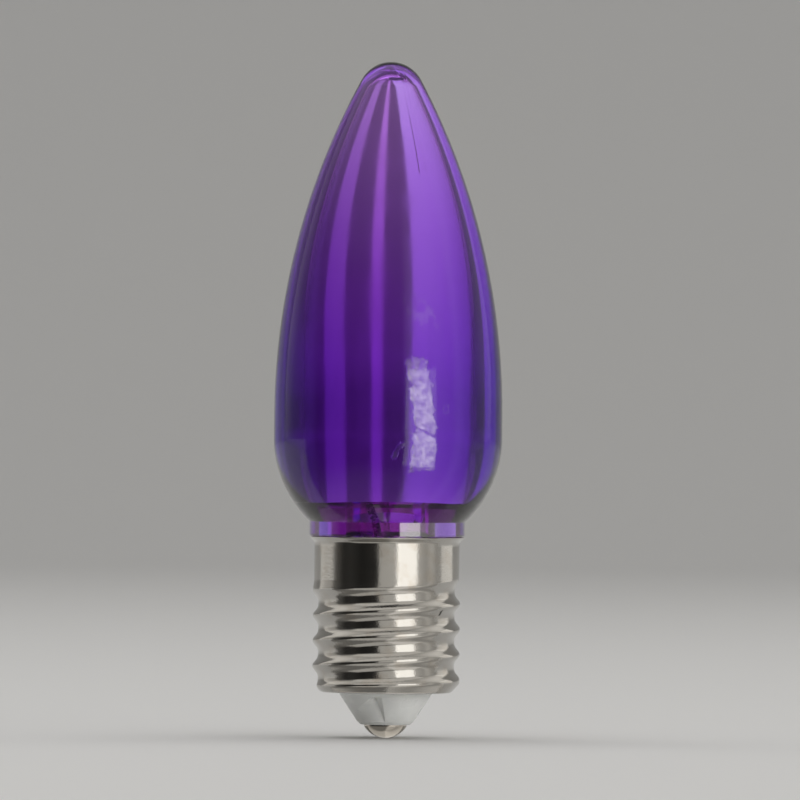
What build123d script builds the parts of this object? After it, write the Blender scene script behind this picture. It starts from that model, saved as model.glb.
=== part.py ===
from build123d import *
import math
import os

# Christmas light bulb with a small screw cap, in millimetres.
# +Z runs up the axis from the centre contact, whose tip is the origin. -Y faces the viewer.

# Heights of the stacked pieces, from the contact's tip upwards
contact_height = 1.5
nose_height = 3.6
cap_height = 17.4
seat_gap = 0.05
collar_height = 1.65
flange_height = 2.1
body_height = 49.4

# Transparent envelope: outside
belly_radius = 12.78
belly_straight = 2.7
tip_radius = 3.78

# Transparent envelope: cavity
belly_wall = 3.28
mouth_step = 1.1
tip_wall = 1.8
cavity_tip_radius = 4.4
cavity_low_rise = 8.5
cavity_straight = 7.2

# Neck that closes the envelope and goes into the cap
collar_overhang = 0.02
collar_chamfer = 0.12
plug_height = 0.7
plug_clearance = 0.1
throat_radius = 3.05
throat_draft_deg = 3.0
skirt_length = 3.8
skirt_wall = 0.95
spigot_clearance = 0.15
seat_step = 0.5
light_recess_height = 1.0
gate_flat_width = 2.3
gate_flat_azimuth_deg = -89.0

# Screw cap, rolled from thin sheet
sheet = 0.25
crest_radius = 8.25
thread_depth = 0.62
thread_pitch = 2.822
ridge_half_width = 1.05
ridge_sink = 0.12
first_crest_rise = 1.5
thread_low_gap = 0.22
thread_top_gap = 0.1
band_step = 0.49
band_height = 5.2
band_shoulder_height = 0.5
rim_flare = 0.58
rim_flare_height = 0.75
cap_corner_radius = 0.6
cap_lip_width = 1.03

# White insulator: cup inside the cap and cone below it
cup_clearance = 0.2
cup_wall = 0.8
cup_floor_thickness = 2.6
cup_rim_gap = 0.25
nose_tip_radius = 2.95
nose_mouth_gap = 0.7
nose_lip_radius = 0.3
notch_count = 2
notch_depth = 0.55
notch_top_gap = 0.5
notch_lip_gap = 0.45
notch_ridge_top_deg = -108.0
notch_ridge_low_deg = -155.0
notch_wall_top_deg = -97.0
notch_wall_low_deg = -92.0
notch_wall_slant_deg = 10.0

# Centre contact: a hollow rivet with a domed head
contact_radius = 2.42
contact_edge = 0.15
shank_radius = 1.1
shank_bore_radius = 0.6
shank_bore_floor = 0.5
shank_clearance = 0.05
shank_stand = 0.6

# Circuit boards
board_thickness = 0.8
board_side_gap = 0.33
board_groove_depth = 0.5
board_clearance = 0.05
board_notch_width = 3.4
board_notch_height = 3.0
led_board_thickness = 1.0
led_board_clearance = 0.12
tab_width = 1.5
tab_stand = 0.3

# Light-emitting chips on the upper board
chip_count = 3
chip_length = 3.5
chip_width = 2.8
chip_height = 0.75
chip_inner_radius = 1.05
chip_edge = 0.12

# Parts on the upright board
bridge_length = 4.7
bridge_width = 3.9
bridge_height = 2.4
bridge_stand = 0.1
bridge_edge = 0.35
bridge_rise = 8.1
bridge_lead_width = 0.6
bridge_lead_thickness = 0.2
bridge_lead_out = 0.5
bridge_lead_foot = 0.6
bridge_lead_spacing = 2.5
resistor_length = 3.2
resistor_width = 1.6
resistor_height = 0.55
resistor_offset = 3.6
resistor_rise = 3.6
fuse_radius = 1.0
fuse_length = 5.0
fuse_edge = 0.3
fuse_gap = 0.1
fuse_rise = 4.6
fuse_lead_sunk = 0.5
fuse_lead_radius = 0.25
fuse_lead_reach = 1.2

# Wires and solder
wire_radius = 0.4
side_wire_radius = 0.3
wire_gap = 0.02
wire_bend_radius = 1.0
wire_bend_start = 0.5
wire_bend_rise = 1.0
pad_rise = 4.4
side_pad_rise = 7.4
side_exit_rise = 1.2
side_wire_clearance = 0.15
side_wire_stop = 0.9
solder_radius = 0.85
tab_solder_radius = 0.28

# Heights and radii worked out from the values above
cap_bottom = contact_height + nose_height
cap_rim = cap_bottom + cap_height
collar_bottom = cap_rim + seat_gap
collar_top = collar_bottom + collar_height
joint_z = collar_top + flange_height
tip_z = joint_z + body_height
shelf_z = joint_z + plug_height
belly_wall_radius = belly_radius - belly_wall
mouth_radius = belly_wall_radius - mouth_step
root_radius = crest_radius - thread_depth
band_radius = root_radius + band_step
rim_radius = band_radius + rim_flare
collar_radius = rim_radius + collar_overhang
cap_mouth_radius = root_radius - cap_corner_radius - cap_lip_width
nose_top_radius = cap_mouth_radius - nose_mouth_gap
flare_z = cap_rim - rim_flare_height
band_bottom = flare_z - band_height
band_shoulder = band_bottom + band_shoulder_height
cup_bottom = cap_bottom + sheet + seat_gap
cup_floor = cup_bottom + cup_floor_thickness
cup_rim = band_shoulder - cup_rim_gap
cup_radius = root_radius - sheet - cup_clearance
cup_inner_radius = cup_radius - cup_wall
skirt_radius = cup_inner_radius - plug_clearance
bore_radius = skirt_radius - skirt_wall
recess_radius = bore_radius - seat_step
spigot_radius = band_radius - sheet - spigot_clearance
spigot_bottom = band_shoulder - skirt_length
throat_bottom = collar_bottom - seat_step
led_seat = throat_bottom - light_recess_height
led_board_bottom = led_seat - led_board_thickness
board_bottom = cup_floor - board_groove_depth + board_clearance
board_width = 2 * (bore_radius - board_side_gap)
board_face = board_thickness / 2
shank_top = cup_floor + shank_stand
shank_hole_radius = shank_radius + shank_clearance
wire_offset = board_face + wire_radius + wire_gap
side_wire_offset = board_face + side_wire_radius + wire_gap
side_exit_z = band_shoulder + side_exit_rise
side_wire_reach = spigot_radius - side_wire_radius - wire_gap

# The thread's ridge runs from just above the cap's bottom to just below the band's shoulder
ridge_start_z = cap_bottom + thread_low_gap + ridge_half_width
ridge_end_z = band_bottom - thread_top_gap - ridge_half_width
first_crest_z = cap_bottom + first_crest_rise
ridge_start_deg = 360 * (ridge_start_z - first_crest_z) / thread_pitch

# The round underside is part of a sphere that meets the collar's top edge
shoulder_centre_z = collar_top + math.sqrt(belly_radius**2 - collar_radius**2)

lowest = (Align.CENTER, Align.CENTER, Align.MIN)


def turned(edges):
    """Solid of revolution about Z from a closed outline drawn as radius and height."""
    return revolve(Plane.XZ * make_face(edges), Axis.Z)


def cylinder_between(radius, low, high):
    """Upright cylinder on the axis between two heights."""
    return Pos(0, 0, low) * Cylinder(radius, high - low, align=lowest)


def block(x_size, y_size, z_size, centre_x, centre_y, low_z):
    """Upright block given by its size, the centre of its base and its lowest height."""
    return Pos(centre_x, centre_y, low_z) * Box(x_size, y_size, z_size, align=lowest)


def underside_radius(height):
    """Outer radius of the sphere-shaped underside at a height."""
    return math.sqrt(belly_radius**2 - (shoulder_centre_z - height) ** 2)


def ogive(start_radius, start_z, top_z, end_radius):
    """Long side arc that leaves a straight side and is tangent to a round tip on the axis."""
    rise = top_z - start_z - end_radius
    arc_radius = (start_radius**2 + rise**2 - end_radius**2) / (2 * (start_radius - end_radius))
    side_centre = Vector(start_radius - arc_radius, start_z)
    tip_centre = Vector(0, top_z - end_radius)
    touch = side_centre + (tip_centre - side_centre).normalized() * arc_radius
    side = TangentArc((start_radius, start_z), touch, tangent=(0, 1))
    return [side, TangentArc(touch, (0, top_z), tangent=side % 1)]


def make_envelope():
    """Thick transparent wall: a sphere-like underside, a short straight belly and an ogive."""
    outer_mouth = underside_radius(joint_z)
    side_start = shoulder_centre_z + belly_straight
    outside = [
        Line((0, joint_z), (outer_mouth, joint_z)),
        TangentArc((belly_radius, shoulder_centre_z), (outer_mouth, joint_z), tangent=(0, -1)),
        Line((belly_radius, shoulder_centre_z), (belly_radius, side_start)),
        *ogive(belly_radius, side_start, tip_z, tip_radius),
        Line((0, tip_z), (0, joint_z)),
    ]
    low_end = joint_z + cavity_low_rise
    cavity_start = low_end + cavity_straight
    cavity_top = tip_z - tip_wall
    cavity = [
        Line((0, joint_z), (mouth_radius, joint_z)),
        TangentArc((belly_wall_radius, low_end), (mouth_radius, joint_z), tangent=(0, -1)),
        Line((belly_wall_radius, low_end), (belly_wall_radius, cavity_start)),
        *ogive(belly_wall_radius, cavity_start, cavity_top, cavity_tip_radius),
        Line((0, cavity_top), (0, joint_z)),
    ]
    return turned(outside) - turned(cavity)


def gate_flat():
    """Block that trims a narrow flat across the collar where the moulding gate was cut off."""
    half_width = gate_flat_width / 2
    flat_distance = math.sqrt(collar_radius**2 - half_width**2)
    centre_y = -flat_distance - half_width
    trim = block(gate_flat_width, gate_flat_width, collar_height, 0, centre_y, collar_bottom)
    return Rot(0, 0, gate_flat_azimuth_deg + 90) * trim


def side_wire_way():
    """Hole through the spigot wall and groove up its back, for the side wire."""
    width = 2 * (side_wire_radius + side_wire_clearance)
    back = side_wire_reach - width / 2
    low = side_exit_z - width / 2
    groove = block(width, width, collar_bottom - low, 0, back + width / 2, low)
    start = bore_radius - seat_step
    hole = Rot(-90, 0, 0) * Cylinder(width / 2, back + width - start, align=lowest)
    return groove + Pos(0, start, side_exit_z) * hole


def make_neck():
    """Plug, flange, collar and spigot in one moulding, with a tapered throat for the light."""
    plug_radius = mouth_radius - plug_clearance
    middle_z = (collar_top + joint_z) / 2
    profile = [
        Polyline(
            (0, spigot_bottom),
            (skirt_radius, spigot_bottom),
            (skirt_radius, band_shoulder),
            (spigot_radius, band_shoulder),
            (spigot_radius, collar_bottom),
            (collar_radius - collar_chamfer, collar_bottom),
            (collar_radius, collar_bottom + collar_chamfer),
            (collar_radius, collar_top),
        ),
        ThreePointArc(
            (collar_radius, collar_top),
            (underside_radius(middle_z), middle_z),
            (underside_radius(joint_z), joint_z),
        ),
        Polyline(
            (underside_radius(joint_z), joint_z),
            (plug_radius, joint_z),
            (plug_radius, shelf_z),
            (0, shelf_z),
            (0, spigot_bottom),
        ),
    ]
    throat_length = shelf_z - throat_bottom
    throat_top_radius = throat_radius + throat_length * math.tan(math.radians(throat_draft_deg))
    throat = Pos(0, 0, throat_bottom) * Cone(throat_radius, throat_top_radius, throat_length, align=lowest)
    neck = turned(profile) - throat
    neck -= cylinder_between(recess_radius, led_seat, throat_bottom)
    neck -= cylinder_between(bore_radius, spigot_bottom, led_seat)
    return neck - side_wire_way() - gate_flat()


def cap_body(inset):
    """The cap's turned form, inset by a distance: corner, root, band and flared rim."""
    bottom = cap_bottom + inset
    turns = [
        (0, bottom),
        (root_radius - inset, bottom),
        (root_radius - inset, band_bottom),
        (band_radius - inset, band_shoulder),
        (band_radius - inset, flare_z),
    ]
    corner = cap_corner_radius - inset
    side = FilletPolyline(*turns, radius=[corner, band_shoulder_height / 2, band_shoulder_height / 2])
    flare = TangentArc((band_radius - inset, flare_z), (rim_radius - inset, cap_rim), tangent=(0, 1))
    lid = Polyline((rim_radius - inset, cap_rim), (0, cap_rim), (0, bottom))
    return turned([side, flare, lid])


def thread_ridge(inset):
    """Helical ridge with a round top, inset by a distance so that the rolled wall stays even."""
    base = root_radius - inset
    top_arc = (ridge_half_width**2 + thread_depth**2) / (2 * thread_depth) - inset
    arc_centre = crest_radius - inset - top_arc - base
    half = math.sqrt(top_arc**2 - (arc_centre + ridge_sink) ** 2)
    path = Helix(thread_pitch, ridge_end_z - ridge_start_z, base, center=(0, 0, ridge_start_z))
    section = Plane(origin=path @ 0, x_dir=(1, 0, 0), z_dir=path % 0)
    top = ThreePointArc((-ridge_sink, -half), (thread_depth, 0), (-ridge_sink, half))
    face = make_face([top, Line(top @ 1, top @ 0)])
    ridge = sweep(section * face, path=path, is_frenet=True)
    return Rot(0, 0, ridge_start_deg) * ridge


def make_screw_cap():
    """Thin sheet cap: turned form and helical ridge outside, the same form inset inside."""
    outside = cap_body(0) + thread_ridge(0)
    inside = cap_body(sheet) + thread_ridge(sheet)
    mouth = cylinder_between(cap_mouth_radius, cap_bottom - sheet, cap_bottom + 2 * sheet)
    return outside - inside - mouth


def notch_cutter():
    """Wedge that leaves a flat ramp and a slanted wall in the nose, deepest at its top."""
    slope = (nose_top_radius - nose_tip_radius) / nose_height

    def ring_point(radius, azimuth_deg):
        angle = math.radians(azimuth_deg)
        return (radius * math.cos(angle), radius * math.sin(angle))

    def section(height, ridge_deg, wall_deg, depth):
        radius = nose_tip_radius + slope * (height - contact_height)
        outside = radius + nose_height
        points = [
            ring_point(radius, ridge_deg),
            ring_point(radius - depth, wall_deg - notch_wall_slant_deg),
            ring_point(radius, wall_deg),
            ring_point(outside, wall_deg),
            ring_point(outside, ridge_deg),
        ]
        return Pos(0, 0, height) * make_face(Polyline(*points, close=True))

    upper = section(cap_bottom - notch_top_gap, notch_ridge_top_deg, notch_wall_top_deg, notch_depth)
    lower = section(contact_height + notch_lip_gap, notch_ridge_low_deg, notch_wall_low_deg, 0)
    return loft([lower, upper], ruled=True)


def make_insulator():
    """White cup with a cone-shaped nose, drilled for the rivet and grooved for the board."""
    profile = Polyline(
        (0, contact_height),
        (nose_tip_radius, contact_height),
        (nose_top_radius, cap_bottom),
        (nose_top_radius, cup_bottom),
        (cup_radius, cup_bottom),
        (cup_radius, cup_rim),
        (cup_inner_radius, cup_rim),
        (cup_inner_radius, cup_floor),
        (0, cup_floor),
        close=True,
    )
    insulator = turned([profile])
    lip = insulator.edges().filter_by(GeomType.CIRCLE).sort_by(Axis.Z)[0]
    insulator = fillet(lip, nose_lip_radius)
    insulator -= cylinder_between(shank_hole_radius, contact_height, cup_floor)
    groove_width = board_thickness + 2 * board_clearance
    groove_length = board_width + 2 * board_clearance
    groove_low = cup_floor - board_groove_depth
    insulator -= block(groove_length, groove_width, board_groove_depth, 0, 0, groove_low)
    for turn in range(notch_count):
        insulator -= Rot(0, 0, turn * 360 / notch_count) * notch_cutter()
    return insulator


def make_centre_contact():
    """Domed head and hollow shank, turned as one rivet."""
    dome = [
        TangentArc((0, 0), (contact_radius, contact_height - contact_edge), tangent=(1, 0)),
        Polyline(
            (contact_radius, contact_height - contact_edge),
            (contact_radius, contact_height),
            (shank_radius, contact_height),
            (shank_radius, shank_top),
            (0, shank_top),
            (0, 0),
        ),
    ]
    return turned(dome) - cylinder_between(shank_bore_radius, shank_bore_floor, shank_top)


def make_driver_board():
    """Upright board: notched over the rivet, with a tab that goes through the upper board."""
    height = led_board_bottom - board_bottom
    board = block(board_width, board_thickness, height, 0, 0, board_bottom)
    board -= block(board_notch_width, board_thickness, board_notch_height, 0, 0, board_bottom)
    tab_height = led_board_thickness + tab_stand
    return board + block(tab_width, board_thickness, tab_height, 0, 0, led_board_bottom)


def make_led_board():
    """Round board under the light recess, slotted for the tab."""
    board = cylinder_between(bore_radius - led_board_clearance, led_board_bottom, led_seat)
    slot_width = board_thickness + 2 * board_clearance
    slot_length = tab_width + 2 * board_clearance
    return board - block(slot_length, slot_width, led_board_thickness, 0, 0, led_board_bottom)


def make_led_chip(index):
    """One chip, its long side along a radius of the board."""
    chip = block(chip_length, chip_width, chip_height, chip_inner_radius + chip_length / 2, 0, led_seat)
    chip = chamfer(chip.faces().sort_by(Axis.Z)[-1].edges(), chip_edge)
    return Rot(0, 0, 90 + index * 360 / chip_count) * chip


def make_bridge_rectifier():
    """Moulded body with two bent leads on its upper and two on its lower side."""
    middle_z = board_bottom + bridge_rise
    centre_y = -board_face - bridge_stand - bridge_height / 2
    body = block(bridge_length, bridge_height, bridge_width, 0, centre_y, middle_z - bridge_width / 2)
    body = chamfer(body.faces().sort_by(Axis.Y)[0].edges(), bridge_edge)
    lead_drop = -board_face - centre_y
    for side in (-1, 1):
        for row in (-1, 1):
            x = row * bridge_lead_spacing / 2
            edge_z = middle_z + side * bridge_width / 2
            out_z = edge_z + side * bridge_lead_out
            foot_z = out_z + side * bridge_lead_foot
            profile = Polyline(
                (centre_y, edge_z - side * bridge_lead_thickness),
                (centre_y, out_z),
                (-board_face, out_z),
                (-board_face, foot_z),
                (-board_face - bridge_lead_thickness, foot_z),
                (-board_face - bridge_lead_thickness, out_z + side * bridge_lead_thickness),
                (centre_y - bridge_lead_thickness, out_z + side * bridge_lead_thickness),
                (centre_y - bridge_lead_thickness, edge_z - side * bridge_lead_thickness),
                close=True,
            )
            lead = extrude(Plane.YZ * make_face(profile), bridge_lead_width / 2, both=True)
            body += Pos(x, 0, 0) * lead
    return body


def make_dropper_resistor(side):
    """Flat resistor on the front of the board, left or right of the rivet's notch."""
    centre_y = -board_face - resistor_height / 2
    low_z = board_bottom + resistor_rise - resistor_length / 2
    return block(resistor_width, resistor_height, resistor_length, side * resistor_offset, centre_y, low_z)


def make_fusible_resistor():
    """Round resistor lying across the back of the board, its leads bent down to the pads."""
    middle_z = board_bottom + fuse_rise
    centre_y = board_face + fuse_gap + fuse_radius
    body = Pos(0, centre_y, middle_z) * Rot(0, 90, 0) * Cylinder(fuse_radius, fuse_length)
    body = chamfer(body.edges().filter_by(GeomType.CIRCLE), fuse_edge)
    reach = fuse_length / 2 + fuse_lead_reach
    for side in (-1, 1):
        path = FilletPolyline(
            (side * (fuse_length / 2 - fuse_lead_sunk), centre_y, middle_z),
            (side * reach, centre_y, middle_z),
            (side * reach, board_face, middle_z),
            radius=fuse_lead_radius * 2,
        )
        section = Plane(origin=path @ 0, z_dir=path % 0) * Circle(fuse_lead_radius)
        body += sweep(section, path=path)
    return body


def wire(points, radius, bend_radius):
    """Round wire along straight runs joined by arcs."""
    path = FilletPolyline(*points, radius=bend_radius)
    return sweep(Plane(origin=path @ 0, z_dir=path % 0) * Circle(radius), path=path)


def make_centre_lead():
    """Wire from the rivet's bore, out through the notch and up the front of the board."""
    bend_z = shank_top + wire_bend_start
    points = [
        (0, 0, contact_height),
        (0, 0, bend_z),
        (0, -wire_offset, bend_z + wire_bend_rise),
        (0, -wire_offset, board_bottom + pad_rise),
    ]
    return wire(points, wire_radius, wire_bend_radius)


def make_side_lead():
    """Wire from the back of the board, out through the spigot and up against the cap's band."""
    points = [
        (0, side_wire_offset, board_bottom + side_pad_rise),
        (0, side_wire_offset, side_exit_z),
        (0, side_wire_reach, side_exit_z),
        (0, side_wire_reach, collar_bottom - side_wire_stop),
    ]
    return wire(points, side_wire_radius, wire_bend_radius)


def make_solder_joints(centre_lead, side_lead):
    """Solder round each wire's end and on both sides of the tab."""
    front_pad = Pos(0, -board_face, board_bottom + pad_rise) * Sphere(solder_radius)
    front_pad -= block(board_width, board_width, board_width, 0, board_width / 2 - board_face, board_bottom)
    back_pad = Pos(0, board_face, board_bottom + side_pad_rise) * Sphere(solder_radius)
    back_pad -= block(board_width, board_width, board_width, 0, board_face - board_width / 2, board_bottom)
    joints = [front_pad - centre_lead, back_pad - side_lead]
    for side in (-1, 1):
        bead = Pos(0, side * (board_face + tab_solder_radius), led_seat) * Sphere(tab_solder_radius)
        joints.append(bead - cylinder_between(bore_radius, led_board_bottom, led_seat))
    fill = cylinder_between(shank_bore_radius, shank_bore_floor, contact_height)
    joints.append(fill)
    return Compound(children=[joint.solid() for joint in joints])


centre_lead = make_centre_lead()
side_lead = make_side_lead()
nodes = {
    "envelope": make_envelope(),
    "neck": make_neck(),
    "screw_cap": make_screw_cap(),
    "insulator": make_insulator(),
    "centre_contact": make_centre_contact(),
    "driver_board": make_driver_board(),
    "led_board": make_led_board(),
    "bridge_rectifier": make_bridge_rectifier(),
    "dropper_resistor_left": make_dropper_resistor(-1),
    "dropper_resistor_right": make_dropper_resistor(1),
    "fusible_resistor": make_fusible_resistor(),
    "centre_lead": centre_lead,
    "side_lead": side_lead,
    "solder_joints": make_solder_joints(centre_lead, side_lead),
}
for index in range(chip_count):
    nodes[f"led_chip_{index + 1}"] = make_led_chip(index)

os.makedirs("parts", exist_ok=True)
for name, solid in nodes.items():
    export_step(solid, f"parts/{name}.step")
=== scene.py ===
import math
import bpy
import numpy as np
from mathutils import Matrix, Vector


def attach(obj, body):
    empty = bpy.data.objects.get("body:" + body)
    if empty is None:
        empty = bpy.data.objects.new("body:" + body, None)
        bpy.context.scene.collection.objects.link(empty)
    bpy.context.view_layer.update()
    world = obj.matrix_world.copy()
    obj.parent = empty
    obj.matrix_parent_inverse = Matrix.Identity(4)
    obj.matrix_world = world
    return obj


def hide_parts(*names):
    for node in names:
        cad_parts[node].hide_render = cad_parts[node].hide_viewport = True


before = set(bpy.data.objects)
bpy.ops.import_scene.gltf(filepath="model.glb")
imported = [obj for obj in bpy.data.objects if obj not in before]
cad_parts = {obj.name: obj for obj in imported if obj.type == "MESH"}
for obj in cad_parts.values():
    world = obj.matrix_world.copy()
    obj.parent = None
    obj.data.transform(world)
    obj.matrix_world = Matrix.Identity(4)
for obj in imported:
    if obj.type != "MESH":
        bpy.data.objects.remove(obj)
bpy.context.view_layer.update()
mm = 0.001  # one millimetre in scene units

# Christmas light bulb: +Z runs from the centre contact up to the envelope's tip, -Y faces the viewer.

# meshes


def roundGrid(radius, height, azimuths):
    # carries a profile of radii and heights round the axis: x = r cos a, y = r sin a, z = h
    r = np.asarray(radius)
    h = np.asarray(height)
    if r.ndim == 1:
        r = np.repeat(r[:, None], len(azimuths), axis=1)
    if h.ndim == 1:
        h = np.repeat(h[:, None], len(azimuths), axis=1)
    return np.stack([r * np.cos(azimuths), r * np.sin(azimuths), h], axis=-1)


def gridPiece(name, grid, closedProfile, material, sharpDegrees=32):
    # rows follow the profile and columns go round; an end row on the axis becomes one pole vertex
    rows, columns = grid.shape[:2]
    index = np.arange(rows * columns).reshape(rows, columns)
    if closedProfile:
        index = np.vstack([index, index[:1]])
    else:
        index[0] = index[0, 0]
        index[-1] = index[-1, 0]
    low, high = index[:-1], index[1:]
    corners = [low, np.roll(low, -1, 1), np.roll(high, -1, 1), high]
    quads = np.stack(corners, axis=-1).reshape(-1, 4)
    used, compact = np.unique(quads, return_inverse=True)
    compact = compact.reshape(-1, 4)
    firstPole = compact[:, 0] == compact[:, 1]
    lastPole = compact[:, 2] == compact[:, 3]
    faces = compact[~(firstPole | lastPole)].tolist()
    faces += compact[firstPole][:, [0, 2, 3]].tolist()
    faces += compact[lastPole][:, [0, 1, 2]].tolist()
    mesh = bpy.data.meshes.new(name)
    mesh.from_pydata((grid.reshape(-1, 3)[used] * mm).tolist(), [], faces)
    mesh.shade_smooth()
    mesh.set_sharp_from_angle(angle=math.radians(sharpDegrees))
    mesh.materials.append(material)
    piece = bpy.data.objects.new(name, mesh)
    bpy.context.scene.collection.objects.link(piece)
    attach(piece, "root")
    return piece


def arc(centreR, centreZ, radius, startDegrees, endDegrees, count):
    # points of a circle in the profile plane: r = c + R cos t, z = c + R sin t
    t = np.radians(np.linspace(startDegrees, endDegrees, count))
    return centreR + radius * np.cos(t), centreZ + radius * np.sin(t)


def straight(r0, z0, r1, z1, count):
    # evenly spaced points from one end of a line to the other
    t = np.linspace(0, 1, count)
    return r0 + (r1 - r0) * t, z0 + (z1 - z0) * t


def joined(*runs):
    # strings profile runs together and drops a run's first point where it repeats the last one
    radius, height = list(runs[0][0]), list(runs[0][1])
    for r, z in runs[1:]:
        start = 1 if abs(r[0] - radius[-1]) + abs(z[0] - height[-1]) < 1e-6 else 0
        radius += list(r[start:])
        height += list(z[start:])
    return np.array(radius), np.array(height)


def smoothStep(value, low, high):
    # 0 below low, 1 above high and a smooth cubic between
    t = np.clip((value - low) / (high - low), 0, 1)
    return t * t * (3 - 2 * t)


# shader helpers


def newMaterial(name):
    material = bpy.data.materials.new(name)
    material.use_nodes = True
    nodes = material.node_tree.nodes
    return material, nodes, material.node_tree.links, nodes["Principled BSDF"]


def combine(nodes, links, operation, *sources):
    # one Math node; each source is a socket or a plain number
    node = nodes.new("ShaderNodeMath")
    node.operation = operation
    for socket, source in zip(node.inputs, sources):
        if isinstance(source, (int, float)):
            socket.default_value = source
        else:
            links.new(source, socket)
    return node.outputs[0]


def rangeOf(nodes, links, source, low, high, toLow, toHigh):
    node = nodes.new("ShaderNodeMapRange")
    for label, value in (("From Min", low), ("From Max", high), ("To Min", toLow), ("To Max", toHigh)):
        if isinstance(value, (int, float)):
            node.inputs[label].default_value = value
        else:
            links.new(value, node.inputs[label])
    links.new(source, node.inputs["Value"])
    return node.outputs["Result"]


def blended(nodes, links, amount, colourA, colourB):
    # a colour mix whose ends are plain colours or sockets
    node = nodes.new("ShaderNodeMix")
    node.data_type = "RGBA"
    links.new(amount, node.inputs[0])
    for socket, colour in ((node.inputs[6], colourA), (node.inputs[7], colourB)):
        if isinstance(colour, tuple):
            socket.default_value = (*colour, 1)
        else:
            links.new(colour, socket)
    return node.outputs[2]


def effectGroup(name, inputs, outputs):
    # an empty node group with float inputs and outputs, and its two end nodes
    group = bpy.data.node_groups.new(name, "ShaderNodeTree")
    for label, value in inputs.items():
        socket = group.interface.new_socket(label, in_out="INPUT", socket_type="NodeSocketFloat")
        socket.default_value = value
    for label in outputs:
        group.interface.new_socket(label, in_out="OUTPUT", socket_type="NodeSocketFloat")
    start = group.nodes.new("NodeGroupInput")
    end = group.nodes.new("NodeGroupOutput")
    return group, start, end


def placeGroup(nodes, group, values):
    node = nodes.new("ShaderNodeGroup")
    node.node_tree = group
    for label, value in values.items():
        node.inputs[label].default_value = value
    return node


def makeSkinRelief():
    # unevenness of a moulded or plated skin: waves plus stipple less hairline scratches
    inputs = {"Scale": 900.0, "Waves": 0.3, "Stipple": 0.3, "Scratches": 0.2}
    group, start, end = effectGroup("skinRelief", inputs, ["Height", "Smudge"])
    nodes, links = group.nodes, group.links
    place = nodes.new("ShaderNodeTexCoord")

    def noise(factor, detail, vector):
        node = nodes.new("ShaderNodeTexNoise")
        node.inputs["Detail"].default_value = detail
        links.new(vector, node.inputs["Vector"])
        size = combine(nodes, links, "MULTIPLY", start.outputs["Scale"], factor)
        links.new(size, node.inputs["Scale"])
        return node.outputs["Fac"]

    stretch = nodes.new("ShaderNodeMapping")
    stretch.inputs["Rotation"].default_value = (0.35, 0.2, 0.9)
    stretch.inputs["Scale"].default_value = (1, 14, 0.7)
    links.new(place.outputs["Object"], stretch.inputs["Vector"])
    waves = noise(0.35, 2, place.outputs["Object"])
    stipple = noise(5.0, 3, place.outputs["Object"])
    smudge = noise(0.6, 6, place.outputs["Object"])
    lines = noise(1.0, 4, stretch.outputs["Vector"])
    thin = rangeOf(nodes, links, lines, 0.66, 0.74, 0.0, 1.0)
    waves = combine(nodes, links, "MULTIPLY", waves, start.outputs["Waves"])
    stipple = combine(nodes, links, "MULTIPLY", stipple, start.outputs["Stipple"])
    thin = combine(nodes, links, "MULTIPLY", thin, start.outputs["Scratches"])
    total = combine(nodes, links, "ADD", waves, stipple)
    links.new(combine(nodes, links, "SUBTRACT", total, thin), end.inputs["Height"])
    links.new(smudge, end.inputs["Smudge"])
    return group


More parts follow.
